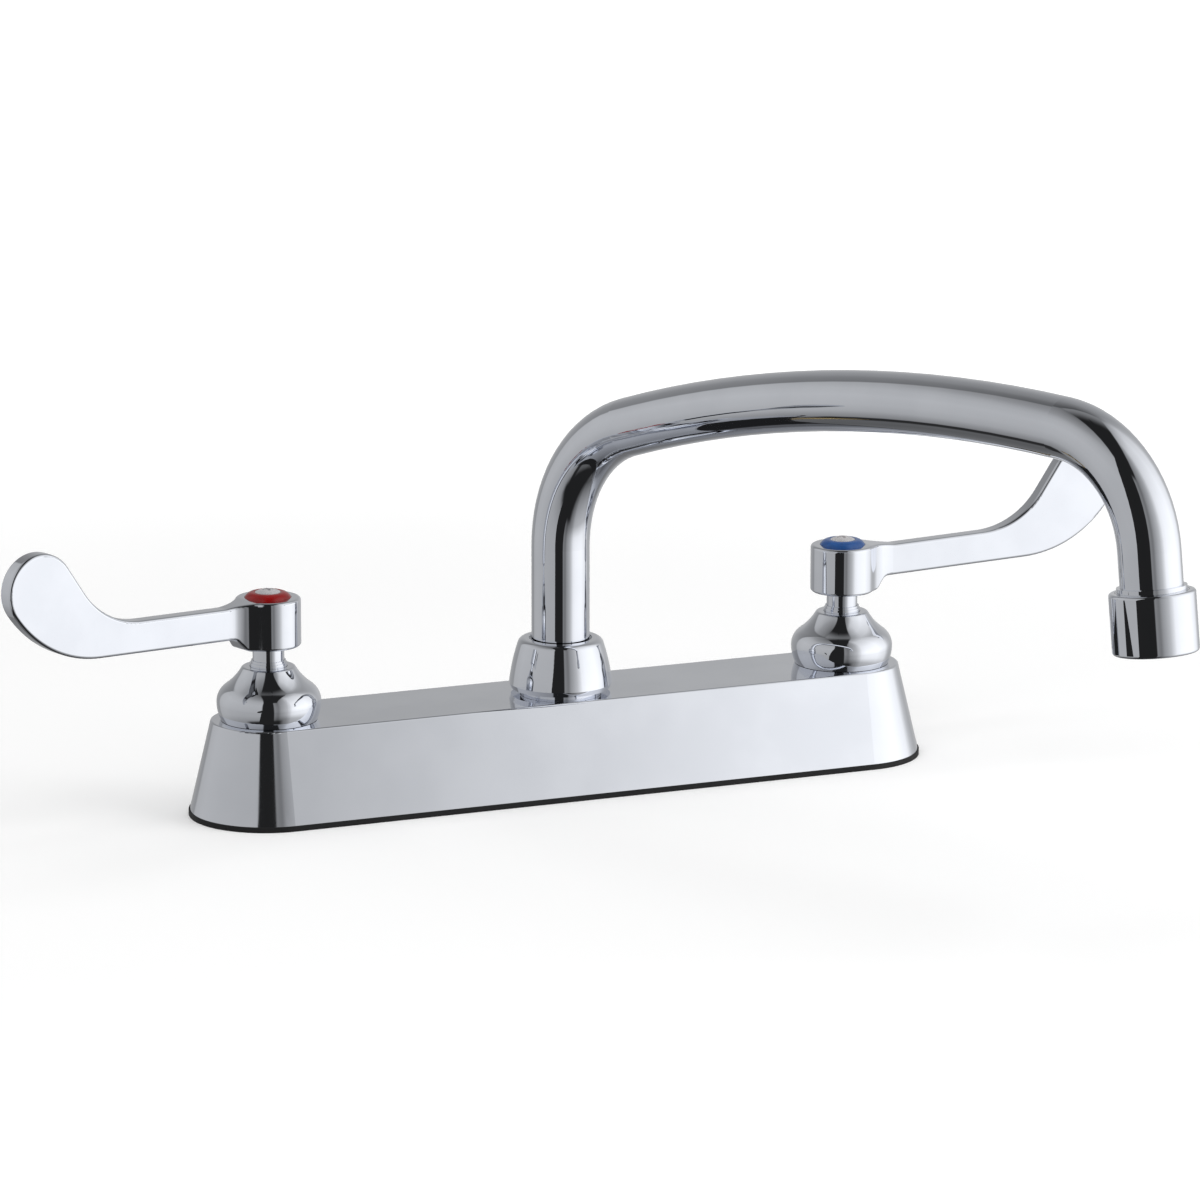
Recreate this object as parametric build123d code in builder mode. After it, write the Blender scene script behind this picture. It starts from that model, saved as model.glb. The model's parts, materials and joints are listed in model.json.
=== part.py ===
from build123d import *
from math import atan2, cos, degrees, radians, sin, sqrt
import os

# Two handle faucet for an 8 inch deck. Millimetres, +Z up, -Y towards the user, +X to the cold side.
# The origin is the middle of the gasket's underside, so the deck's top is the plane z = 0.

# Layout
valve_centres = 203.2
spout_swing_angle = 21.0
hot_lever_angle = 196.4
cold_lever_angle = 0.5

# Clearances
running_clearance = 0.05
thread_clearance = 0.1
flow_clearance = 1.1
seat_gap = 0.1

# Deck body
gasket_thickness = 1.8
gasket_overhang = 0.4
body_height = 29.5
end_overhang = 0.6
foot_radius = 25.3
shoulder_radius = 18.3
body_edge_round = 0.8
body_wall = 3.0
top_wall = 3.5
barrel_wall = 3.6
cross_pipe_wall = 3.5
cross_bore_radius = 4.0
cross_pipe_height = 20.0

# Inlet shanks and what clamps them to the deck
shank_radius = 10.6
shank_bore_radius = 6.4
supply_thread_radius = 10.2
supply_thread_length = 19.0
shank_drop = 57.0
shank_entry = 10.4
shank_end_chamfer = 1.0
deck_thickness = 25.0
washer_radius = 17.5
washer_thickness = 2.0
locknut_height = 9.5
locknut_across_flats = 28.6
locknut_flange_radius = 16.5
locknut_flange = 2.0

# Valve cartridge
inlet_port_radius = 5.5
inlet_port_length = 4.0
valve_neck_wall = 2.1
valve_neck_height = 5.7
cartridge_radius = 9.4
cartridge_relief = 0.5
cartridge_wall = 1.6
cartridge_thread_length = 6.0
cartridge_flange = 2.5
cartridge_gasket = 0.8
guide_radius = 6.0
guide_rise = 1.2
guide_lip_step = 0.4
guide_lip = 0.8
seal_height = 5.5
seal_bore_radius = 5.0
seal_proud = 1.0
disc_thickness = 2.3
disc_port_radius = 2.0
disc_port_offset = 4.2
window_width = 8.0
window_height = 4.0

# Stem
stem_radius = 5.1
stem_show = 4.8
driver_height = 4.2
driver_wall = 3.4
driver_port_radius = 1.4
spline_radius = 4.2
spline_length = 12.5
spline_teeth = 16
spline_depth = 0.4
screw_radius = 2.0
screw_grip = 8.5
stem_ring_section = 1.4
ring_squeeze = 0.1

# Bonnet
bonnet_height = 17.4
bonnet_foot_wall = 4.0
bonnet_belly_wall = 5.25
bonnet_belly_height = 5.8
bonnet_waist_wall = 2.6
bonnet_waist_height = 11.0
bonnet_rim_width = 2.4
bonnet_rim_round = 1.0
bonnet_hollow = 0.35

# Lever handle
hub_radius = 10.6
hub_height = 15.8
lever_rise = 2.15
lever_thickness = 5.6
lever_low = 3.55
lever_height = 10.4
lever_flare_radius = 13.0
lever_shoulder = 8.0
lever_web = 4.0
web_foot = 0.4
web_round = 3.0
shoulder_round = 10.0
crook_radius = 27.5
crook_turn = 54.0
paddle_reach = 102.1
paddle_height = 39.25
paddle_low_radius = 40.5
paddle_tip_radius = 12.1
lever_edge_round = 1.0

# Index ring and handle screw
index_ring_radius = 7.5
index_ring_recess = 0.8
index_ring_rise = 1.7
index_ring_bulge = 0.45
screw_head_radius = 4.1
screw_head_seat = 0.7
screw_head_side = 1.0
screw_head_height = 2.0
cross_slot_width = 0.9
cross_slot_length = 3.8
cross_slot_depth = 1.2

# Spout joint
boss_wall = 1.7
boss_height = 12.2
boss_floor = 10.0
mixing_floor = 4.0
mixing_floor_width = 3.0
socket_depth = 18.5
sleeve_length = 16.5
sleeve_wall = 1.925
sleeve_lip = 1.725
sleeve_flange_inset = 0.8
sleeve_flange = 1.8
tube_grip = 10.8
sleeve_ring_section = 1.8
sleeve_ring_low = 2.5
sleeve_ring_pitch = 3.4
thrust_washer = 0.8
nut_height = 16.4
nut_lift = 1.2
nut_foot_wall = 3.0
nut_foot_band = 1.6
nut_belly_wall = 3.6
nut_crown_width = 3.175
nut_bulge = 0.45
nut_crown_round = 2.2
nut_top_gap = 0.8

# Spout tube
tube_radius = 9.525
tube_wall = 1.2
riser_height = 79.5
first_bend_radius = 46.5
first_bend_turn = 71.6
crown_turn = 20.5
outlet_bend_radius = 36.0
outlet_bend_turn = 81.3
outlet_straight = 12.1
spout_reach = 256.0

# Outlet fitting and aerator
tip_flare_wall = 1.075
tip_flare = 1.4
tip_thread_wall = 1.475
tip_thread_length = 9.0
tip_lip = 1.525
aerator_wall = 1.95
aerator_length = 18.6
aerator_edge_round = 0.9
aerator_lip = 1.6
aerator_lip_width = 1.5
aerator_washer = 1.6
insert_height = 4.5
insert_hole_radius = 0.7
insert_hole_pitch = 2.6
insert_hole_rings = 3
screen_thickness = 0.8
screen_bar = 0.5
screen_opening = 1.4

# Heights that follow from the sizes above
valve_offset = valve_centres / 2
end_centres = valve_centres + 2 * end_overhang
body_top = gasket_thickness + body_height
side_taper = degrees(atan2(foot_radius - shoulder_radius, body_height))
chamber_floor = gasket_thickness + shank_entry + inlet_port_length
chamber_radius = cartridge_radius - cartridge_relief + flow_clearance
barrel_radius = chamber_radius + barrel_wall
valve_neck_radius = cartridge_radius + valve_neck_wall
valve_neck_top = body_top + valve_neck_height
valve_thread_low = valve_neck_top - cartridge_thread_length
cartridge_low = chamber_floor + seal_proud
cartridge_flange_low = valve_neck_top + cartridge_gasket
cartridge_flange_top = cartridge_flange_low + cartridge_flange
cartridge_flange_radius = valve_neck_radius - thread_clearance
cartridge_bore_radius = cartridge_radius - cartridge_relief - cartridge_wall
disc_radius = cartridge_bore_radius - running_clearance
fixed_disc_low = chamber_floor + seal_height
moving_disc_low = fixed_disc_low + disc_thickness + running_clearance
driver_low = moving_disc_low + disc_thickness
driver_top = driver_low + driver_height
bonnet_low = body_top + seat_gap
bonnet_top = body_top + bonnet_height + seat_gap
guide_step = bonnet_top + guide_rise
guide_top = guide_step + guide_lip
stem_bore_radius = stem_radius + running_clearance
stem_ring_middle = (driver_top + cartridge_flange_top) / 2
hub_low = guide_top + stem_show
hub_top = hub_low + hub_height
spline_top = hub_low + spline_length
screw_seat = hub_top + screw_head_seat
boss_top = body_top + boss_height
socket_floor = boss_top - socket_depth
sleeve_radius = tube_radius + sleeve_wall
sleeve_bore_radius = tube_radius - sleeve_lip
socket_bore_radius = sleeve_radius + running_clearance
mixing_bore_radius = socket_bore_radius - mixing_floor_width
boss_radius = socket_bore_radius + boss_wall
sleeve_flange_radius = boss_radius - sleeve_flange_inset
sleeve_low = boss_top - sleeve_length
sleeve_flange_low = boss_top + thrust_washer + running_clearance
sleeve_flange_top = sleeve_flange_low + sleeve_flange
upper_washer_low = sleeve_flange_top + running_clearance
tube_low = sleeve_flange_top - tube_grip
nut_low = body_top + nut_lift
nut_top = nut_low + nut_height
tip_thread_radius = tube_radius + tip_thread_wall
tip_bore_radius = tube_radius - tip_lip
aerator_bore_radius = tip_thread_radius + thread_clearance
aerator_mouth_radius = aerator_bore_radius - aerator_lip_width
insert_start = tip_thread_length + aerator_washer
screen_start = aerator_length - aerator_lip - screen_thickness

# The spout's centre line lies in one upright plane: local X forwards, local Y up
forward = (sin(radians(spout_swing_angle)), -cos(radians(spout_swing_angle)), 0)
spout_plane = Plane(origin=(0, 0, 0), x_dir=forward, z_dir=(forward[1], -forward[0], 0))
climb = radians(90 - first_bend_turn)
dip = climb - radians(crown_turn)
fall = dip - radians(outlet_bend_turn)
bends_reach = first_bend_radius * (1 - sin(climb)) + outlet_bend_radius * (sin(dip) - sin(fall))
ends_reach = (outlet_straight + aerator_length) * cos(fall)
crown_radius = (spout_reach - bends_reach - ends_reach) / (sin(climb) - sin(dip))

with BuildLine() as spout_route:
    riser = Line((0, tube_low), (0, riser_height))
    first_bend = JernArc(riser @ 1, riser % 1, first_bend_radius, -first_bend_turn)
    crown = JernArc(first_bend @ 1, first_bend % 1, crown_radius, -crown_turn)
    outlet_bend = JernArc(crown @ 1, crown % 1, outlet_bend_radius, -outlet_bend_turn)
    Line(outlet_bend @ 1, outlet_bend @ 1 + outlet_bend % 1 * outlet_straight)
spout_path = spout_plane.from_local_coords(spout_route.wires()[0])
outlet_plane = Plane(origin=spout_path @ 1, x_dir=spout_plane.z_dir, z_dir=spout_path % 1)

# Lever outline, seen from the side and before its rise: local X out along the lever, local Y up from the hub's foot
lever_top = lever_low + lever_height
tip_x = paddle_reach - paddle_tip_radius
tip_y = paddle_height - paddle_tip_radius
low_y = lever_low + paddle_low_radius
low_x = tip_x - sqrt((paddle_low_radius - paddle_tip_radius) ** 2 - (low_y - tip_y) ** 2)
tip_start = degrees(atan2(tip_y - low_y, tip_x - low_x))
crook = radians(crook_turn)
crook_x = tip_x - crook_radius * sin(crook)
crook_x -= (paddle_tip_radius + cos(crook) * (tip_y - lever_top - crook_radius * (1 - cos(crook)))) / sin(crook)


def raised(x, y):
    """Point of the lever's outline, turned up by the lever's rise."""
    rise = radians(lever_rise)
    return (x * cos(rise) - y * sin(rise), x * sin(rise) + y * cos(rise))


def upright_plane(x):
    """Upright plane through a valve's axis, local Y up."""
    return Plane(origin=(x, 0, 0), x_dir=(1, 0, 0), z_dir=(0, -1, 0))


def level_plane(x, height):
    """Level plane centred on a valve's axis."""
    return Plane(origin=(x, 0, height))


def valve_axis(x):
    """A valve's upright axis."""
    return Axis((x, 0, 0), (0, 0, 1))


def outline_face(x, corners):
    """Face with straight sides in the upright plane at x, from (radius, height) corners."""
    with BuildSketch(upright_plane(x)) as section:
        with BuildLine():
            Polyline(*corners, close=True)
        make_face()
    return section.sketch


def save(part, name):
    """Label a finished piece and write it to its own file."""
    part.label = name
    export_step(part, f"parts/{name}.step")


def make_deck_body():
    """Hollow casting: tapered shell, two valve barrels, the spout's socket and the cross pipe."""
    with BuildPart() as deck_body:
        with BuildSketch(Plane.XY.offset(gasket_thickness)):
            SlotCenterToCenter(end_centres, 2 * foot_radius)
        extrude(amount=body_height, taper=side_taper)
        fillet(deck_body.faces().sort_by(Axis.Z)[-1].edges(), body_edge_round)
        with BuildSketch(Plane.XY.offset(gasket_thickness)):
            SlotCenterToCenter(end_centres, 2 * (foot_radius - body_wall))
        extrude(amount=body_height - top_wall, taper=side_taper, mode=Mode.SUBTRACT)
        # Valve barrels, and above them the necks that the bonnets screw onto
        with BuildSketch(Plane.XY.offset(gasket_thickness)):
            with GridLocations(valve_centres, 0, 2, 1):
                Circle(barrel_radius)
        extrude(amount=body_height - top_wall / 2)
        with BuildSketch(Plane.XY.offset(body_top - top_wall)):
            with GridLocations(valve_centres, 0, 2, 1):
                Circle(valve_neck_radius)
        extrude(amount=top_wall + valve_neck_height)
        # Spout socket
        with BuildSketch(Plane.XY.offset(boss_floor)):
            Circle(boss_radius)
        extrude(amount=boss_top - boss_floor)
        # Cross pipe from valve to valve
        with BuildSketch(Plane.YZ):
            with Locations((0, cross_pipe_height)):
                Circle(cross_bore_radius + cross_pipe_wall)
        extrude(amount=valve_offset, both=True)
        # Shank thread, inlet port, water chamber and cartridge thread, from below
        bores = (
            (gasket_thickness, chamber_floor - inlet_port_length, shank_radius + thread_clearance),
            (chamber_floor - inlet_port_length, chamber_floor, inlet_port_radius),
            (chamber_floor, valve_thread_low, chamber_radius),
            (valve_thread_low, valve_neck_top, cartridge_radius + thread_clearance),
        )
        for low, high, radius in bores:
            with BuildSketch(Plane.XY.offset(low)):
                with GridLocations(valve_centres, 0, 2, 1):
                    Circle(radius)
            extrude(amount=high - low, mode=Mode.SUBTRACT)
        # Mixing chamber and spout socket
        with BuildSketch(Plane.XY.offset(boss_floor + mixing_floor)):
            Circle(mixing_bore_radius)
        extrude(amount=socket_floor - boss_floor - mixing_floor, mode=Mode.SUBTRACT)
        with BuildSketch(Plane.XY.offset(socket_floor)):
            Circle(socket_bore_radius)
        extrude(amount=socket_depth, mode=Mode.SUBTRACT)
        # Bore of the cross pipe, which stops inside the water chambers
        with BuildSketch(Plane.YZ):
            with Locations((0, cross_pipe_height)):
                Circle(cross_bore_radius)
        extrude(amount=valve_offset - chamber_radius / 2, both=True, mode=Mode.SUBTRACT)
    return deck_body.part


def make_deck_gasket():
    """Flat rubber sheet under the body, with a hole for each shank."""
    with BuildPart() as deck_gasket:
        with BuildSketch():
            SlotCenterToCenter(end_centres, 2 * (foot_radius + gasket_overhang))
            with GridLocations(valve_centres, 0, 2, 1):
                Circle(shank_radius + thread_clearance, mode=Mode.SUBTRACT)
        extrude(amount=gasket_thickness)
    return deck_gasket.part


def make_inlet_shank(x):
    """Threaded brass pipe from the body's barrel down through the deck, smaller where the supply nut goes."""
    shank_length = shank_drop + gasket_thickness + shank_entry
    with BuildPart() as inlet_shank:
        with BuildSketch(level_plane(x, -shank_drop)):
            Circle(supply_thread_radius)
        extrude(amount=supply_thread_length)
        chamfer(inlet_shank.faces().sort_by(Axis.Z)[0].edges(), shank_end_chamfer)
        with BuildSketch(level_plane(x, supply_thread_length - shank_drop)):
            Circle(shank_radius)
        extrude(amount=shank_length - supply_thread_length)
        with BuildSketch(level_plane(x, -shank_drop)):
            Circle(shank_bore_radius)
        extrude(amount=shank_length, mode=Mode.SUBTRACT)
    return inlet_shank.part


def make_deck_washer(x):
    """Flat washer against the deck's underside."""
    with BuildPart() as deck_washer:
        with BuildSketch(level_plane(x, -deck_thickness)):
            Circle(washer_radius)
            Circle(shank_radius + thread_clearance, mode=Mode.SUBTRACT)
        extrude(amount=-washer_thickness)
    return deck_washer.part


def make_locknut(x):
    """Flanged hexagon nut that draws the body down onto the deck."""
    high = -deck_thickness - washer_thickness
    with BuildPart() as locknut:
        with BuildSketch(level_plane(x, high)):
            Circle(locknut_flange_radius)
        extrude(amount=-locknut_flange)
        with BuildSketch(level_plane(x, high)):
            RegularPolygon(locknut_across_flats / 2, 6, major_radius=False)
        extrude(amount=-locknut_height)
        with BuildSketch(level_plane(x, high)):
            Circle(shank_radius + thread_clearance)
        extrude(amount=-locknut_height, mode=Mode.SUBTRACT)
    return locknut.part


def make_cartridge_body(x):
    """Cartridge shell with the stem's guide on top, which shows as a small collar above the bonnet."""
    corners = [
        (cartridge_bore_radius, cartridge_low),
        (cartridge_bore_radius + cartridge_wall, cartridge_low),
        (cartridge_bore_radius + cartridge_wall, valve_thread_low),
        (cartridge_radius, valve_thread_low),
        (cartridge_radius, cartridge_flange_low),
        (cartridge_flange_radius, cartridge_flange_low),
        (cartridge_flange_radius, cartridge_flange_top),
        (guide_radius, cartridge_flange_top),
        (guide_radius, guide_step),
        (guide_radius - guide_lip_step, guide_step),
        (guide_radius - guide_lip_step, guide_top),
        (stem_bore_radius, guide_top),
        (stem_bore_radius, driver_top + running_clearance),
        (cartridge_bore_radius, driver_top + running_clearance),
    ]
    with BuildPart() as cartridge_body:
        revolve(outline_face(x, corners), axis=valve_axis(x))
        # Side windows let the water out above the discs
        with BuildSketch(upright_plane(x)):
            with Locations((0, driver_low + window_height / 2)):
                Rectangle(window_width, window_height)
        extrude(amount=cartridge_radius, both=True, mode=Mode.SUBTRACT)
    return cartridge_body.part


def make_cartridge_gasket(x):
    """Sealing ring between the cartridge's flange and the valve neck."""
    with BuildPart() as cartridge_gasket_ring:
        with BuildSketch(level_plane(x, valve_neck_top)):
            Circle(cartridge_flange_radius)
            Circle(cartridge_radius + thread_clearance, mode=Mode.SUBTRACT)
        extrude(amount=cartridge_gasket)
    return cartridge_gasket_ring.part


def make_seat_seal(x):
    """Rubber bush that seals the inlet and presses the discs together."""
    with BuildPart() as seat_seal:
        with BuildSketch(level_plane(x, chamber_floor)):
            Circle(disc_radius)
            Circle(seal_bore_radius, mode=Mode.SUBTRACT)
        extrude(amount=seal_height)
    return seat_seal.part


def make_disc(x, low):
    """Ceramic disc with two ports."""
    with BuildPart() as disc:
        with BuildSketch(level_plane(x, low)):
            Circle(disc_radius)
            with PolarLocations(disc_port_offset, 2):
                Circle(disc_port_radius, mode=Mode.SUBTRACT)
        extrude(amount=disc_thickness)
    return disc.part


def make_stem(x):
    """Spindle: hollow driver below, round shaft, and a splined head inside the handle's hub."""
    groove_half = stem_ring_section / 2 + ring_squeeze
    groove_radius = stem_bore_radius - stem_ring_section - ring_squeeze
    corners = [
        (0, driver_low + driver_height / 2),
        (disc_radius - driver_wall, driver_low + driver_height / 2),
        (disc_radius - driver_wall, driver_low),
        (disc_radius, driver_low),
        (disc_radius, driver_top),
        (stem_radius, driver_top),
        (stem_radius, stem_ring_middle - groove_half),
        (groove_radius, stem_ring_middle - groove_half),
        (groove_radius, stem_ring_middle + groove_half),
        (stem_radius, stem_ring_middle + groove_half),
        (stem_radius, hub_low),
        (0, hub_low),
    ]
    with BuildPart() as stem:
        revolve(outline_face(x, corners), axis=valve_axis(x))
        with BuildSketch(level_plane(x, hub_low)):
            Circle(spline_radius)
            with PolarLocations(spline_radius, spline_teeth):
                Circle(spline_depth, mode=Mode.SUBTRACT)
        extrude(amount=spline_length)
        with BuildSketch(level_plane(x, spline_top)):
            Circle(screw_radius)
        extrude(amount=-screw_grip, mode=Mode.SUBTRACT)
        # Cross drilling through the driver, for the water
        with BuildSketch(upright_plane(x)):
            with Locations((0, driver_low + driver_port_radius / 2)):
                Circle(driver_port_radius)
        extrude(amount=cartridge_radius, both=True, mode=Mode.SUBTRACT)
    return stem.part


def make_stem_o_ring(x):
    """Rubber ring in the stem's groove."""
    with BuildPart() as stem_o_ring:
        with BuildSketch(upright_plane(x)):
            with Locations((stem_radius - stem_ring_section / 2, stem_ring_middle)):
                Circle(stem_ring_section / 2)
        revolve(axis=valve_axis(x))
    return stem_o_ring.part


def make_bonnet(x):
    """Bell shaped nut that screws onto the valve neck and holds the cartridge down."""
    hole_radius = guide_radius + thread_clearance
    thread_radius = valve_neck_radius + thread_clearance
    foot = (thread_radius + bonnet_foot_wall, bonnet_low)
    belly = (thread_radius + bonnet_belly_wall, bonnet_low + bonnet_belly_height)
    waist = (thread_radius + bonnet_waist_wall, bonnet_low + bonnet_waist_height)
    rim = (hole_radius + bonnet_rim_width, bonnet_top)
    hollow_x = (waist[0] + rim[0]) / 2 - bonnet_hollow
    hollow_y = (waist[1] + rim[1]) / 2 - bonnet_hollow
    with BuildPart() as bonnet:
        with BuildSketch(upright_plane(x)) as bell:
            with BuildLine():
                TangentArc(belly, foot, tangent=(0, -1))
                TangentArc(belly, waist, tangent=(0, 1))
                ThreePointArc(waist, (hollow_x, hollow_y), rim)
                Polyline(
                    rim,
                    (hole_radius, bonnet_top),
                    (hole_radius, cartridge_flange_top),
                    (thread_radius, cartridge_flange_top),
                    (thread_radius, bonnet_low),
                    foot,
                )
            make_face()
            fillet(bell.vertices().sort_by_distance(rim)[0], bonnet_rim_round)
        revolve(axis=valve_axis(x))
    return bonnet.part


def make_handle(x, angle):
    """Hub and wrist blade in one casting. The angle is the blade's direction seen from above."""
    out = (cos(radians(angle)), sin(radians(angle)), 0)
    plan = Plane(origin=(x, 0, hub_low), x_dir=out, z_dir=(0, 0, 1))
    side = Plane(origin=(x, 0, hub_low), x_dir=out, z_dir=(out[1], -out[0], 0))
    shoulder = raised(hub_radius + lever_shoulder, lever_top)
    hub_edge = (hub_radius - lever_thickness / 2, hub_height)
    web = raised(hub_radius + lever_web, lever_low)
    foot_edge = (hub_radius + web_foot, 0)
    crook_end = raised(crook_x + crook_radius * sin(crook), lever_top + crook_radius * (1 - cos(crook)))
    tip_end = raised(tip_x - paddle_tip_radius * sin(crook), tip_y + paddle_tip_radius * cos(crook))
    with BuildPart() as handle:
        # Seen from above, the blade flares into the round hub
        with BuildSketch(plan) as footprint:
            Circle(hub_radius)
            Rectangle(paddle_reach + hub_radius, lever_thickness, align=(Align.MIN, Align.CENTER))
            fillet(footprint.vertices().sort_by_distance((0, 0, 0))[:2], lever_flare_radius)
        extrude(amount=2 * paddle_height)
        # Seen from the side, the lever rises a little and its paddle turns up
        with BuildSketch(side) as profile:
            with BuildLine():
                Line(web, raised(low_x, lever_low))
                CenterArc(raised(low_x, low_y), paddle_low_radius, lever_rise - 90, 90 + tip_start)
                CenterArc(raised(tip_x, tip_y), paddle_tip_radius, lever_rise + tip_start, 90 + crook_turn - tip_start)
                Line(tip_end, crook_end)
                CenterArc(raised(crook_x, lever_top + crook_radius), crook_radius, lever_rise - 90, crook_turn)
                Polyline(
                    raised(crook_x, lever_top),
                    shoulder,
                    hub_edge,
                    (-2 * hub_radius, hub_height),
                    (-2 * hub_radius, 0),
                    foot_edge,
                    web,
                )
            make_face()
            for corner, radius in (
                (shoulder, shoulder_round),
                (hub_edge, shoulder_round),
                (web, web_round),
                (foot_edge, web_round),
            ):
                fillet(profile.vertices().sort_by_distance(corner)[0], radius)
        extrude(amount=hub_radius, both=True, mode=Mode.INTERSECT)
        blade_edges = handle.faces().filter_by(side).edges().filter_by(Axis.Z, reverse=True)
        fillet(blade_edges, lever_edge_round)
        # Spline socket below, screw hole and ring recess above
        with BuildSketch(plan):
            Circle(spline_radius + thread_clearance)
        extrude(amount=spline_length, mode=Mode.SUBTRACT)
        with BuildSketch(plan):
            Circle(screw_radius + thread_clearance)
        extrude(amount=hub_height, mode=Mode.SUBTRACT)
        with BuildSketch(plan.offset(hub_height)):
            Circle(index_ring_radius + thread_clearance)
        extrude(amount=-index_ring_recess, mode=Mode.SUBTRACT)
    return handle.part


def make_index_ring(x):
    """Domed colour ring held in the hub's recess by the screw."""
    hole_radius = screw_radius + thread_clearance
    cup_radius = screw_head_radius + thread_clearance
    outer = (index_ring_radius, hub_top)
    inner = (cup_radius, hub_top + index_ring_rise)
    bulge = ((outer[0] + inner[0]) / 2 + index_ring_bulge, (outer[1] + inner[1]) / 2 + index_ring_bulge)
    with BuildPart() as index_ring:
        with BuildSketch(upright_plane(x)):
            with BuildLine():
                ThreePointArc(outer, bulge, inner)
                Polyline(
                    inner,
                    (cup_radius, screw_seat),
                    (hole_radius, screw_seat),
                    (hole_radius, hub_top - index_ring_recess),
                    (index_ring_radius, hub_top - index_ring_recess),
                    outer,
                )
            make_face()
        revolve(axis=valve_axis(x))
    return index_ring.part


def make_handle_screw(x):
    """Domed screw with a cross slot, through the ring and hub into the stem."""
    screw_low = spline_top - screw_grip + screw_radius / 2
    side_top = screw_seat + screw_head_side
    head_top = screw_seat + screw_head_height
    with BuildPart() as handle_screw:
        with BuildSketch(upright_plane(x)):
            with BuildLine():
                TangentArc((0, head_top), (screw_head_radius, side_top), tangent=(1, 0))
                Polyline(
                    (screw_head_radius, side_top),
                    (screw_head_radius, screw_seat),
                    (screw_radius - thread_clearance, screw_seat),
                    (screw_radius - thread_clearance, screw_low),
                    (0, screw_low),
                    (0, head_top),
                )
            make_face()
        revolve(axis=valve_axis(x))
        with BuildSketch(level_plane(x, head_top)):
            Rectangle(cross_slot_length, cross_slot_width)
            Rectangle(cross_slot_width, cross_slot_length)
        extrude(amount=-cross_slot_depth, mode=Mode.SUBTRACT)
    return handle_screw.part


def make_spout_sleeve():
    """Brass sleeve on the tube's foot that turns in the body's socket, with two ring grooves."""
    groove_radius = socket_bore_radius - sleeve_ring_section - ring_squeeze
    groove_width = sleeve_ring_section + 2 * ring_squeeze
    with BuildPart() as spout_sleeve:
        with BuildSketch(Plane.XY.offset(sleeve_low)):
            Circle(sleeve_radius)
        extrude(amount=sleeve_flange_low - sleeve_low)
        with BuildSketch(Plane.XY.offset(sleeve_flange_low)):
            Circle(sleeve_flange_radius)
        extrude(amount=sleeve_flange)
        for step in range(2):
            middle = sleeve_low + sleeve_ring_low + step * sleeve_ring_pitch
            with BuildSketch(Plane.XY.offset(middle - groove_width / 2)):
                Circle(sleeve_radius)
                Circle(groove_radius, mode=Mode.SUBTRACT)
            extrude(amount=groove_width, mode=Mode.SUBTRACT)
        with BuildSketch(Plane.XY.offset(sleeve_low)):
            Circle(sleeve_bore_radius)
        extrude(amount=tube_low - sleeve_low, mode=Mode.SUBTRACT)
        with BuildSketch(Plane.XY.offset(tube_low)):
            Circle(tube_radius)
        extrude(amount=tube_grip, mode=Mode.SUBTRACT)
    return spout_sleeve.part


def make_sleeve_o_ring(step):
    """Rubber ring in one of the sleeve's grooves."""
    middle = sleeve_low + sleeve_ring_low + step * sleeve_ring_pitch
    with BuildPart() as sleeve_o_ring:
        with BuildSketch(Plane.XZ):
            with Locations((sleeve_radius - sleeve_ring_section / 2, middle)):
                Circle(sleeve_ring_section / 2)
        revolve(axis=Axis.Z)
    return sleeve_o_ring.part


def make_thrust_washer(low, inner_radius):
    """Low friction washer on one side of the sleeve's flange."""
    with BuildPart() as thrust_ring:
        with BuildSketch(Plane.XY.offset(low)):
            Circle(sleeve_flange_radius)
            Circle(inner_radius, mode=Mode.SUBTRACT)
        extrude(amount=thrust_washer)
    return thrust_ring.part


def make_spout_nut():
    """Round nut that screws onto the body's boss and holds the spout down."""
    roof = upper_washer_low + thrust_washer
    top_radius = tube_radius + nut_top_gap
    thread_radius = boss_radius + thread_clearance
    belly = (thread_radius + nut_belly_wall, nut_low + nut_foot_band)
    crown_edge = (top_radius + nut_crown_width, nut_top)
    bulge = ((belly[0] + crown_edge[0]) / 2 + nut_bulge, (belly[1] + crown_edge[1]) / 2)
    with BuildPart() as spout_nut:
        with BuildSketch(Plane.XZ) as bell:
            with BuildLine():
                ThreePointArc(belly, bulge, crown_edge)
                Polyline(
                    crown_edge,
                    (top_radius, nut_top),
                    (top_radius, roof),
                    (thread_radius, roof),
                    (thread_radius, nut_low),
                    (thread_radius + nut_foot_wall, nut_low),
                    belly,
                )
            make_face()
            fillet(bell.vertices().sort_by_distance(crown_edge)[0], nut_crown_round)
        revolve(axis=Axis.Z)
    return spout_nut.part


def make_spout_tube():
    """Bent tube: riser, first bend, long shallow crown, outlet bend and a short straight end."""
    with BuildPart() as spout_tube:
        with BuildSketch(Plane.XY.offset(tube_low)):
            Circle(tube_radius)
            Circle(tube_radius - tube_wall, mode=Mode.SUBTRACT)
        sweep(path=spout_path)
    return spout_tube.part


def make_spout_tip():
    """Threaded end fitting round the tube's mouth."""
    with BuildPart() as spout_tip:
        with BuildSketch(outlet_plane.offset(-tip_flare)):
            Circle(tube_radius + tip_flare_wall)
        extrude(amount=tip_flare)
        with BuildSketch(outlet_plane):
            Circle(tip_thread_radius)
        extrude(amount=tip_thread_length)
        with BuildSketch(outlet_plane.offset(-tip_flare)):
            Circle(tube_radius)
        extrude(amount=tip_flare, mode=Mode.SUBTRACT)
        with BuildSketch(outlet_plane):
            Circle(tip_bore_radius)
        extrude(amount=tip_thread_length, mode=Mode.SUBTRACT)
    return spout_tip.part


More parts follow.
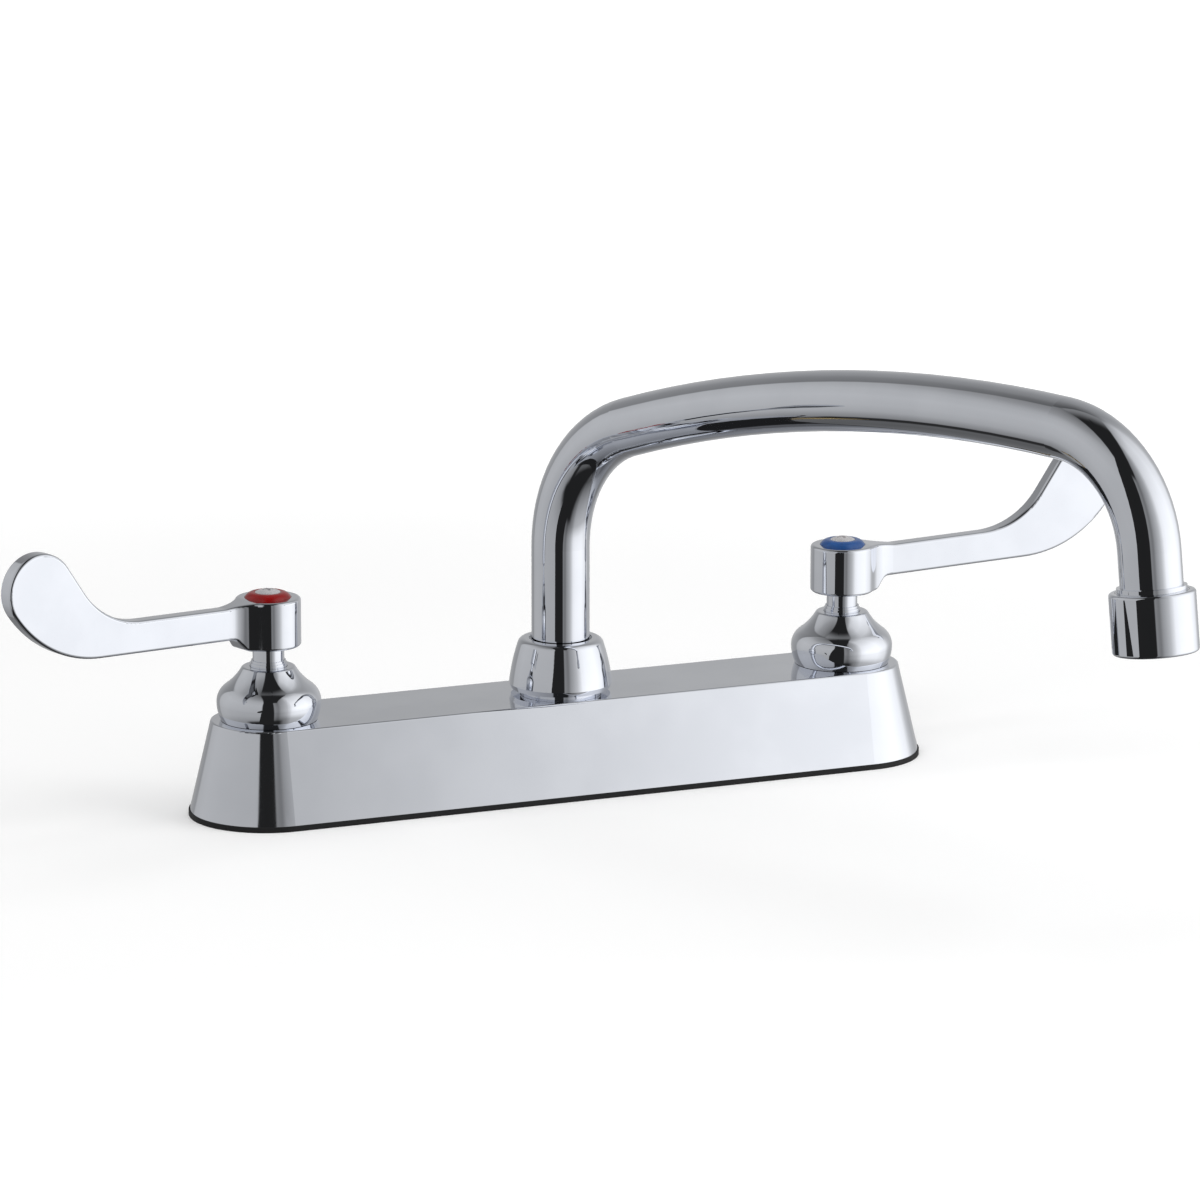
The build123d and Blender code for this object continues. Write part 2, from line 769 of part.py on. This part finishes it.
def make_aerator_housing():
    """Plain collar that screws onto the end fitting, with a lip round its mouth."""
    with BuildPart() as aerator_housing:
        with BuildSketch(outlet_plane):
            Circle(aerator_bore_radius + aerator_wall)
        extrude(amount=aerator_length)
        fillet(aerator_housing.edges().filter_by(GeomType.CIRCLE), aerator_edge_round)
        with BuildSketch(outlet_plane):
            Circle(aerator_bore_radius)
        extrude(amount=aerator_length - aerator_lip, mode=Mode.SUBTRACT)
        with BuildSketch(outlet_plane):
            Circle(aerator_mouth_radius)
        extrude(amount=aerator_length, mode=Mode.SUBTRACT)
    return aerator_housing.part


def make_aerator_washer():
    """Rubber washer between the end fitting and the insert."""
    with BuildPart() as aerator_washer_ring:
        with BuildSketch(outlet_plane.offset(tip_thread_length)):
            Circle(tip_thread_radius)
            Circle(tip_bore_radius, mode=Mode.SUBTRACT)
        extrude(amount=aerator_washer)
    return aerator_washer_ring.part


def make_aerator_insert():
    """Plastic flow straightener with rings of small holes."""
    with BuildPart() as aerator_insert:
        with BuildSketch(outlet_plane.offset(insert_start)):
            Circle(tip_thread_radius)
            Circle(insert_hole_radius, mode=Mode.SUBTRACT)
            for ring in range(1, insert_hole_rings + 1):
                with PolarLocations(ring * insert_hole_pitch, 6 * ring):
                    Circle(insert_hole_radius, mode=Mode.SUBTRACT)
        extrude(amount=insert_height)
    return aerator_insert.part


def make_aerator_screen():
    """Flat square mesh that rests on the housing's lip."""
    pitch = screen_opening + screen_bar
    count = int((aerator_mouth_radius * sqrt(2)) / pitch)
    with BuildPart() as aerator_screen:
        with BuildSketch(outlet_plane.offset(screen_start)):
            Circle(tip_thread_radius)
            with GridLocations(pitch, pitch, count, count):
                Rectangle(screen_opening, screen_opening, mode=Mode.SUBTRACT)
        extrude(amount=screen_thickness)
    return aerator_screen.part


os.makedirs("parts", exist_ok=True)

save(make_deck_body(), "deck_body")
save(make_deck_gasket(), "deck_gasket")

for side, x, lever_angle in (("hot", -valve_offset, hot_lever_angle), ("cold", valve_offset, cold_lever_angle)):
    save(make_inlet_shank(x), f"{side}_inlet_shank")
    save(make_deck_washer(x), f"{side}_deck_washer")
    save(make_locknut(x), f"{side}_locknut")
    save(make_cartridge_body(x), f"{side}_cartridge_body")
    save(make_cartridge_gasket(x), f"{side}_cartridge_gasket")
    save(make_seat_seal(x), f"{side}_seat_seal")
    save(make_disc(x, fixed_disc_low), f"{side}_fixed_disc")
    save(make_disc(x, moving_disc_low), f"{side}_moving_disc")
    save(make_stem(x), f"{side}_stem")
    save(make_stem_o_ring(x), f"{side}_stem_o_ring")
    save(make_bonnet(x), f"{side}_bonnet")
    save(make_handle(x, lever_angle), f"{side}_handle")
    save(make_index_ring(x), f"{side}_index_ring")
    save(make_handle_screw(x), f"{side}_handle_screw")

save(make_spout_sleeve(), "spout_sleeve")
save(make_sleeve_o_ring(0), "spout_o_ring_lower")
save(make_sleeve_o_ring(1), "spout_o_ring_upper")
save(make_thrust_washer(boss_top, sleeve_radius + running_clearance), "spout_washer_lower")
save(make_thrust_washer(upper_washer_low, tube_radius + thread_clearance), "spout_washer_upper")
save(make_spout_nut(), "spout_nut")
save(make_spout_tube(), "spout_tube")
save(make_spout_tip(), "spout_tip")
save(make_aerator_housing(), "aerator_housing")
save(make_aerator_washer(), "aerator_washer")
save(make_aerator_insert(), "aerator_insert")
save(make_aerator_screen(), "aerator_screen")
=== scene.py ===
import json
import math
import bpy
import numpy as np
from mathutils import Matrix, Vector

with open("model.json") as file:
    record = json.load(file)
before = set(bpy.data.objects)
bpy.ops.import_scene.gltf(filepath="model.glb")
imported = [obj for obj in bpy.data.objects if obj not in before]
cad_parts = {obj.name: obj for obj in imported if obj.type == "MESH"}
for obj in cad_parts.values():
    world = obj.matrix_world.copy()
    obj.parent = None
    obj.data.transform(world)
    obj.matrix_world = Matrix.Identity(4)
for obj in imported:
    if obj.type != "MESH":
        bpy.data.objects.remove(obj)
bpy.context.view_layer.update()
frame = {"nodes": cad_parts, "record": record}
nodes = frame["nodes"]
slotOf = {part["node"]: part["material_slot"] for part in frame["record"]["subparts"]}
print("faucet loaded,", len(nodes), "nodes")


# A Wire is one socket. A sum written on it adds a Math node.
class Wire:
    def __init__(self, tree, socket=None):
        self.tree = tree
        self.socket = socket

    # adds a node: its settings are set first, then the values or links of its sockets
    def node(self, kind, settings=None, inputs=None, output=0):
        made = self.tree.nodes.new(kind)
        for name, value in (settings or {}).items():
            if name == "stops":
                ramp = made.color_ramp
                while len(ramp.elements) < len(value):
                    ramp.elements.new(0.5)
                for element, (place, level) in zip(ramp.elements, value):
                    element.position = place
                    element.color = (level, level, level, 1.0)
            else:
                setattr(made, name, value)
        for name, value in (inputs or {}).items():
            if isinstance(value, Wire):
                self.tree.links.new(value.socket, made.inputs[name])
            else:
                made.inputs[name].default_value = value
        return Wire(self.tree, made.outputs[output])

    # another output of the node that this socket is on
    def output(self, name):
        return Wire(self.tree, self.socket.node.outputs[name])

    def sum(self, operation, first, second=0.0):
        return self.node("ShaderNodeMath", {"operation": operation}, {0: first, 1: second})

    def __add__(self, other):
        return self.sum("ADD", self, other)

    def __radd__(self, other):
        return self.sum("ADD", other, self)

    def __sub__(self, other):
        return self.sum("SUBTRACT", self, other)

    def __rsub__(self, other):
        return self.sum("SUBTRACT", other, self)

    def __mul__(self, other):
        return self.sum("MULTIPLY", self, other)

    def __rmul__(self, other):
        return self.sum("MULTIPLY", other, self)

    # 0 below low and 1 above high, with a smooth slope between
    def step(self, low, high):
        return self.node("ShaderNodeMapRange", {"interpolation_type": "SMOOTHSTEP"},
                         {"Value": self, "From Min": low, "From Max": high})

    # 0 below the edge and 1 above it, with the slope as far as soft on either side
    def above(self, edge, soft):
        return self.step(edge - soft, edge + soft)

    # 1 from low to high and 0 outside, both edges soft
    def between(self, low, high, soft):
        return self.above(low, soft) * (1 - self.above(high, soft))

    # a level that changes with this value, in straight runs between the given places
    def follow(self, levels, low, high):
        most = max(levels.values())
        stops = [((place - low) / (high - low), level / most) for place, level in levels.items()]
        share = (self - low) * (1 / (high - low))
        return self.node("ShaderNodeValToRGB", {"stops": stops}, {"Fac": share}) * most


def newMaterial(name):
    made = bpy.data.materials.new(name)
    made.use_nodes = True
    made.node_tree.nodes.clear()
    return made, Wire(made.node_tree)


def surfaceInto(wire, shader):
    out = wire.tree.nodes.new("ShaderNodeOutputMaterial")
    wire.tree.links.new(shader.socket, out.inputs["Surface"])


# the Mix node has a set of sockets for each kind of data: 0, 6, 7 and output 2 are those for colours
def mixColour(wire, factor, first, second):
    return wire.node("ShaderNodeMix", {"data_type": "RGBA"},
                     {0: factor, 6: first + (1.0,), 7: second + (1.0,)}, output=2)


# colour and worn colour, roughness and how much it varies, the size in metres of the polishing cloud,
# and the height and width in metres of the waves in the surface
finishes = {
    "castChrome": {"colour": (0.79, 0.81, 0.86), "worn": (0.75, 0.77, 0.82), "metal": 1.0, "rough": 0.075,
                   "smear": 0.05, "cloud": 0.030, "wave": 10e-6, "width": 0.018},
    "leverChrome": {"colour": (0.80, 0.82, 0.87), "worn": (0.76, 0.78, 0.83), "metal": 1.0, "rough": 0.045,
                    "smear": 0.035, "cloud": 0.022, "wave": 5e-6, "width": 0.014},
    "tubeChrome": {"colour": (0.79, 0.81, 0.86), "worn": (0.76, 0.78, 0.83), "metal": 1.0, "rough": 0.020,
                   "smear": 0.02, "cloud": 0.020, "wave": 3e-6, "width": 0.012},
    "turnedChrome": {"colour": (0.80, 0.82, 0.87), "worn": (0.77, 0.79, 0.84), "metal": 1.0, "rough": 0.020,
                     "smear": 0.02, "cloud": 0.012, "wave": 1.2e-6, "width": 0.006},
    "screwChrome": {"colour": (0.90, 0.88, 0.89), "worn": (0.74, 0.73, 0.75), "metal": 0.7, "rough": 0.30,
                    "smear": 0.12, "cloud": 0.003, "wave": 3e-6, "width": 0.0012},
    "brass": {"colour": (0.72, 0.55, 0.28), "worn": (0.60, 0.45, 0.22), "metal": 1.0, "rough": 0.22,
              "smear": 0.14, "cloud": 0.010, "wave": 3e-6, "width": 0.004},
    "stainless_steel": {"colour": (0.66, 0.66, 0.67), "worn": (0.58, 0.58, 0.60), "metal": 1.0, "rough": 0.16,
                        "smear": 0.12, "cloud": 0.008, "wave": 2e-6, "width": 0.003},
    "rubber": {"colour": (0.006, 0.006, 0.007), "worn": (0.011, 0.011, 0.012), "metal": 0.0, "rough": 0.70,
               "smear": 0.20, "cloud": 0.012, "wave": 12e-6, "width": 0.0012},
    "index_red": {"colour": (0.25, 0.004, 0.004), "worn": (0.21, 0.003, 0.003), "metal": 0.0, "rough": 0.18,
                  "smear": 0.08, "cloud": 0.004, "wave": 2e-6, "width": 0.002},
    "index_blue": {"colour": (0.018, 0.085, 0.28), "worn": (0.014, 0.070, 0.24), "metal": 0.0, "rough": 0.18,
                   "smear": 0.08, "cloud": 0.004, "wave": 2e-6, "width": 0.002},
    "ceramic": {"colour": (0.90, 0.89, 0.86), "worn": (0.84, 0.83, 0.80), "metal": 0.0, "rough": 0.12,
                "smear": 0.06, "cloud": 0.006, "wave": 1e-6, "width": 0.002},
    "acetal": {"colour": (0.86, 0.86, 0.84), "worn": (0.80, 0.80, 0.77), "metal": 0.0, "rough": 0.40,
               "smear": 0.12, "cloud": 0.006, "wave": 4e-6, "width": 0.002},
}
grain = {"cloudDetail": 3.0, "waveDetail": 1.0, "patchEdges": (0.35, 0.65)}  # alike in every finish
threads = {"pitch": 0.0018, "depth": 0.25e-3, "top": -0.004, "fade": 0.001}  # on the brass of the shanks


def makeFinish(name, threaded=False):
    look = finishes[name]
    material, wire = newMaterial(name + "Threaded" if threaded else name)
    place = wire.node("ShaderNodeTexCoord", output="Object")
    cloud = wire.node("ShaderNodeTexNoise", None,
                      {"Vector": place, "Scale": 1 / look["cloud"], "Detail": grain["cloudDetail"]})
    wave = wire.node("ShaderNodeTexNoise", None,
                     {"Vector": place, "Scale": 1 / look["width"], "Detail": grain["waveDetail"]})
    patch = cloud.step(*grain["patchEdges"])
    height = wave * look["wave"]
    if threaded:
        # a fine helix is near enough to rings: the height follows the sine of z over the pitch
        z = wire.node("ShaderNodeSeparateXYZ", None, {0: place}, output="Z")
        below = 1 - z.step(threads["top"] - threads["fade"], threads["top"])
        ring = wire.sum("SINE", z * (2 * math.pi / threads["pitch"]))
        height = height + ring * below * (threads["depth"] / 2)
    bump = wire.node("ShaderNodeBump", None, {"Strength": 1.0, "Distance": 1.0, "Height": height})
    shader = wire.node("ShaderNodeBsdfPrincipled", None, {
        "Base Color": mixColour(wire, patch, look["colour"], look["worn"]),
        "Metallic": look["metal"],
        "Roughness": look["rough"] + look["smear"] * (patch - 0.5),
        "Normal": bump,
    })
    surfaceInto(wire, shader)
    return material


materials = {name: makeFinish(name) for name in finishes}
materials["shank"] = makeFinish("brass", threaded=True)
# these have a finish of their own; other chrome is turned, and the rest is named after its slot
ownFinish = {
    "deck_body": "castChrome", "hot_handle": "leverChrome", "cold_handle": "leverChrome",
    "spout_tube": "tubeChrome", "spout_tip": "tubeChrome", "hot_handle_screw": "screwChrome",
    "cold_handle_screw": "screwChrome", "hot_inlet_shank": "shank", "cold_inlet_shank": "shank",
}

for name, node in nodes.items():
    slot = slotOf[name]
    finish = ownFinish.get(name, "turnedChrome" if slot == "chrome" else slot)
    node.data.materials.clear()
    node.data.materials.append(materials[finish])
print("finishes done")


camera = {"azimuth": -22.7, "elevation": 13.0, "distance": 2.05, "aim": (0.0, 0.0, 0.060),
          "lens": 188.25, "shift": (0.0329, 0.0033), "clip": (0.05, 50.0)}  # degrees, metres and millimetres


def makeCamera(place):
    turn, rise = math.radians(place["azimuth"]), math.radians(place["elevation"])
    back = Vector((math.sin(turn) * math.cos(rise), -math.cos(turn) * math.cos(rise), math.sin(rise)))
    data = bpy.data.cameras.new("camera")
    data.lens = place["lens"]
    data.shift_x, data.shift_y = place["shift"]
    data.clip_start, data.clip_end = place["clip"]
    made = bpy.data.objects.new("camera", data)
    made.location = Vector(place["aim"]) + back * place["distance"]
    made.rotation_mode = "QUATERNION"
    made.rotation_quaternion = (-back).to_track_quat("-Z", "Y")
    bpy.context.scene.collection.objects.link(made)
    bpy.context.scene.camera = made


makeCamera(camera)


def makeStage(name, points, faces):
    mesh = bpy.data.meshes.new(name)
    mesh.from_pydata(points, [], faces)
    made = bpy.data.objects.new(name, mesh)
    bpy.context.scene.collection.objects.link(made)
    return made


def onlyInGloss(made):
    made.visible_camera = False
    made.visible_diffuse = False
    made.visible_shadow = False
    made.visible_transmission = False


# The studio is a white cloth tent with a strong lamp behind its right wall. Azimuths are in degrees from the
# camera, plus to the right, elevations are in degrees too, and lengths are in metres, across and away as the
# camera sees them.
tent = {
    "radius": 1.1, "top": 1.15, "bottom": -0.9, "square": 5.0, "around": 96, "along": 64,
    "tint": (0.990, 0.995, 1.0, 1.0),
    # light of the cloth by azimuth, and how it falls by elevation on the left, back and right walls
    "cloth": {-180: 0.50, -164: 0.47, -156: 0.41, -148: 0.385, -132: 0.345, -126: 0.42, -105: 0.44,
              -75: 0.42, -45: 0.40, -17: 0.39, 9: 0.27, 18: 0.30, 24: 0.52, 30: 0.66, 38: 0.88, 46: 1.32,
              50: 1.62, 60: 1.80, 75: 1.88, 90: 1.92, 115: 1.56, 127: 0.94, 140: 0.68, 160: 0.58, 180: 0.50},
    "leftFall": {-75: 0.10, -60: 0.28, -48: 0.30, -46: 0.06, -41: 0.06, -39: 0.60, -30: 0.80, -20: 1.05,
                 0: 1.22, 25: 1.30, 40: 1.20, 48: 1.06, 56: 0.80, 70: 0.50, 85: 0.0},
    "backFall": {-75: 0.10, -55: 0.35, -46: 0.38, -38: 0.48, -20: 0.90, 5: 1.0, 15: 0.92, 25: 0.80,
                 39: 0.68, 46: 0.62, 55: 0.55, 70: 0.30, 85: 0.0},
    "rightFall": {-75: 0.05, -30: 0.30, -20: 0.55, 0: 0.70, 30: 0.60, 60: 0.40, 85: 0.0},
    "leftCorner": (-132, -128), "rightCorners": ((0, 20), (130, 170)),  # where one wall becomes the next
    "dark": 0.0175,
    "door": (-16.5, 9.0), "doorSoft": 1.5,
    "ground": {"rise": -33.0, "soft": 4.0, "left": -52.5, "right": 27.5, "sideSoft": 7.5},
    "opening": {"left": -0.295, "right": 0.323, "back": 0.274, "soft": 0.03, "height": (0.9, 1.0)},
    "ceiling": {"light": 0.22, "near": -0.15, "far": 0.25},
}
# corners of the black flags: across and away as the camera sees them, and height
flags = {
    "lensFlag": ((-0.390, -0.51, -0.8), (0.015, -0.51, -0.8), (0.015, -0.51, 0.8)),
    "hotFlag": ((-0.127, -0.224, 0.012), (-0.283, -0.495, -0.058),
                (-0.283, -0.495, -0.026), (-0.127, -0.224, 0.042)),
}


def makeTent(size):
    # a round room: radius and height follow a superellipse from the bottom pole to the top pole
    turn = np.linspace(0, 2 * np.pi, size["around"], endpoint=False)
    rise = np.linspace(-np.pi / 2, np.pi / 2, size["along"])
    power = 2 / size["square"]
    radius = size["radius"] * np.abs(np.cos(rise)) ** power
    middle = (size["top"] + size["bottom"]) / 2
    height = middle + (size["top"] - size["bottom"]) / 2 * np.sign(rise) * np.abs(np.sin(rise)) ** power
    points = np.stack([radius[:, None] * np.sin(turn), -radius[:, None] * np.cos(turn),
                       np.repeat(height[:, None], len(turn), 1)], -1).reshape(-1, 3)
    row, column = np.meshgrid(np.arange(size["along"] - 1), np.arange(size["around"]), indexing="ij")
    after = (column + 1) % size["around"]
    faces = np.stack([row * size["around"] + column, (row + 1) * size["around"] + column,
                      (row + 1) * size["around"] + after, row * size["around"] + after], -1).reshape(-1, 4)
    made = makeStage("tent", points, faces.tolist())
    onlyInGloss(made)
    return made


# Light of the cloth by azimuth times its fall by elevation. The door in front of the lens and the ground at
# the camera's feet are dark. A ceiling shows through the opening in the roof, dark above the camera and
# lighter towards the back.
def paintTent(made, look, cameraAzimuth):
    material, wire = newMaterial("tentCloth")
    turn = math.radians(cameraAzimuth)
    place = wire.node("ShaderNodeTexCoord", output="Object")
    x = wire.node("ShaderNodeSeparateXYZ", None, {0: place}, output="X")
    y, z = x.output("Y"), x.output("Z")
    across = x * math.cos(turn) + y * math.sin(turn)
    away = y * math.cos(turn) - x * math.sin(turn)
    azimuth = wire.sum("ARCTAN2", across, 0 - away) * (180 / math.pi)
    rise = wire.sum("ARCTAN2", z, wire.sum("SQRT", x * x + y * y)) * (180 / math.pi)

    intoRight, outOfRight = look["rightCorners"]
    right = azimuth.step(*intoRight) * (1 - azimuth.step(*outOfRight))
    back = 1 - azimuth.step(*look["leftCorner"]) + azimuth.step(*outOfRight)
    fall = rise.follow(look["rightFall"], -90, 90) * right + rise.follow(look["backFall"], -90, 90) * back
    fall = fall + rise.follow(look["leftFall"], -90, 90) * (1 - right - back)
    cloth = azimuth.follow(look["cloth"], -180, 180) * fall

    ground, opening, ceiling = look["ground"], look["opening"], look["ceiling"]
    door = azimuth.between(*look["door"], look["doorSoft"])
    low = 1 - rise.above(ground["rise"], ground["soft"])
    low = low * azimuth.between(ground["left"], ground["right"], ground["sideSoft"])
    keep = (1 - door) * (1 - low)
    roof = across.between(opening["left"], opening["right"], opening["soft"]) * z.step(*opening["height"])
    roof = roof * (1 - away.above(opening["back"], opening["soft"]))
    overhead = away.step(ceiling["near"], ceiling["far"]) * ceiling["light"] + look["dark"]
    light = (cloth * (1 - roof) + overhead * roof) * keep + look["dark"] * (1 - keep)
    surfaceInto(wire, wire.node("ShaderNodeEmission", None, {"Color": look["tint"], "Strength": light}))
    made.data.materials.append(material)


# x and y of a place given across and away as the camera sees it
def inPlan(across, away, turn):
    return across * math.cos(turn) - away * math.sin(turn), across * math.sin(turn) + away * math.cos(turn)


# The large flag keeps the light off the lens. The small one stands before the hot handle's hub, edge on to
# the spout, so that hardly anything but the hub mirrors it.
def makeFlag(name, corners, cameraAzimuth):
    turn = math.radians(cameraAzimuth)
    outline = [(*inPlan(across, away, turn), height) for across, away, height in corners]
    made = makeStage(name, outline, [tuple(range(len(outline)))])
    onlyInGloss(made)
    material, wire = newMaterial(name + "Cloth")
    surfaceInto(wire, wire.node("ShaderNodeEmission", None, {"Strength": tent["dark"]}))
    made.data.materials.append(material)


paintTent(makeTent(tent), tent, camera["azimuth"])
for name, corners in flags.items():
    makeFlag(name, corners, camera["azimuth"])


# 1 for a ray from the camera, also after a mirror or glass, and 0 for the light that falls on matt surfaces
def seenRays(wire):
    path = wire.node("ShaderNodeLightPath", output="Is Camera Ray")
    return path + path.output("Is Glossy Ray") + path.output("Is Transmission Ray")


# white paper, which glows where it is seen, and more so far from the faucet
floor = {"size": 7.0, "colour": 0.88, "glow": 0.14, "farGlow": 0.90, "near": 0.25, "far": 1.4}


def makeFloor(look):
    half = look["size"] / 2
    corners = [(-half, -half, 0), (half, -half, 0), (half, half, 0), (-half, half, 0)]
    made = makeStage("floor", corners, [(0, 1, 2, 3)])
    made.visible_glossy = False
    material, wire = newMaterial("floorPaper")
    place = wire.node("ShaderNodeTexCoord", output="Object")
    distance = wire.node("ShaderNodeVectorMath", {"operation": "LENGTH"}, {0: place}, output="Value")
    level = look["glow"] + distance.step(look["near"], look["far"]) * look["farGlow"]
    matt = wire.node("ShaderNodeBsdfDiffuse", None, {"Color": (look["colour"],) * 3 + (1.0,)})
    glow = wire.node("ShaderNodeEmission", None, {"Strength": seenRays(wire) * level})
    surfaceInto(wire, wire.node("ShaderNodeAddShader", None, {0: matt, 1: glow}))
    made.data.materials.append(material)


makeFloor(floor)

# places and sizes in metres, powers in watts; all point at the origin and show in no mirror
lamps = {
    "key": {"from": (1.2, -0.9, 1.2), "size": 1.2, "power": 14},
    "fill": {"from": (-1.3, -1.3, 1.0), "size": 1.4, "power": 9},
    "top": {"from": (0.0, 0.2, 1.8), "size": 1.6, "power": 12},
}


def makeLamp(name, look):
    data = bpy.data.lights.new(name, "AREA")
    data.size = look["size"]
    data.energy = look["power"]
    made = bpy.data.objects.new(name, data)
    made.location = look["from"]
    made.rotation_mode = "QUATERNION"
    made.rotation_quaternion = (-Vector(look["from"])).to_track_quat("-Z", "Y")
    made.visible_glossy = False
    made.visible_camera = False
    bpy.context.scene.collection.objects.link(made)


for name, look in lamps.items():
    makeLamp(name, look)


sky = {"always": 0.4, "seen": 0.6}  # white: the light on the faucet, and what is added where it is seen


def makeWorld(look):
    world = bpy.data.worlds.new("world")
    world.use_nodes = True
    world.node_tree.nodes.clear()
    wire = Wire(world.node_tree)
    strength = seenRays(wire) * look["seen"] + look["always"]
    glow = wire.node("ShaderNodeBackground", None, {"Color": (1, 1, 1, 1), "Strength": strength})
    out = world.node_tree.nodes.new("ShaderNodeOutputWorld")
    world.node_tree.links.new(glow.socket, out.inputs["Surface"])
    bpy.context.scene.world = world


makeWorld(sky)
bpy.context.scene.view_settings.view_transform = "Standard"
print("studio done")
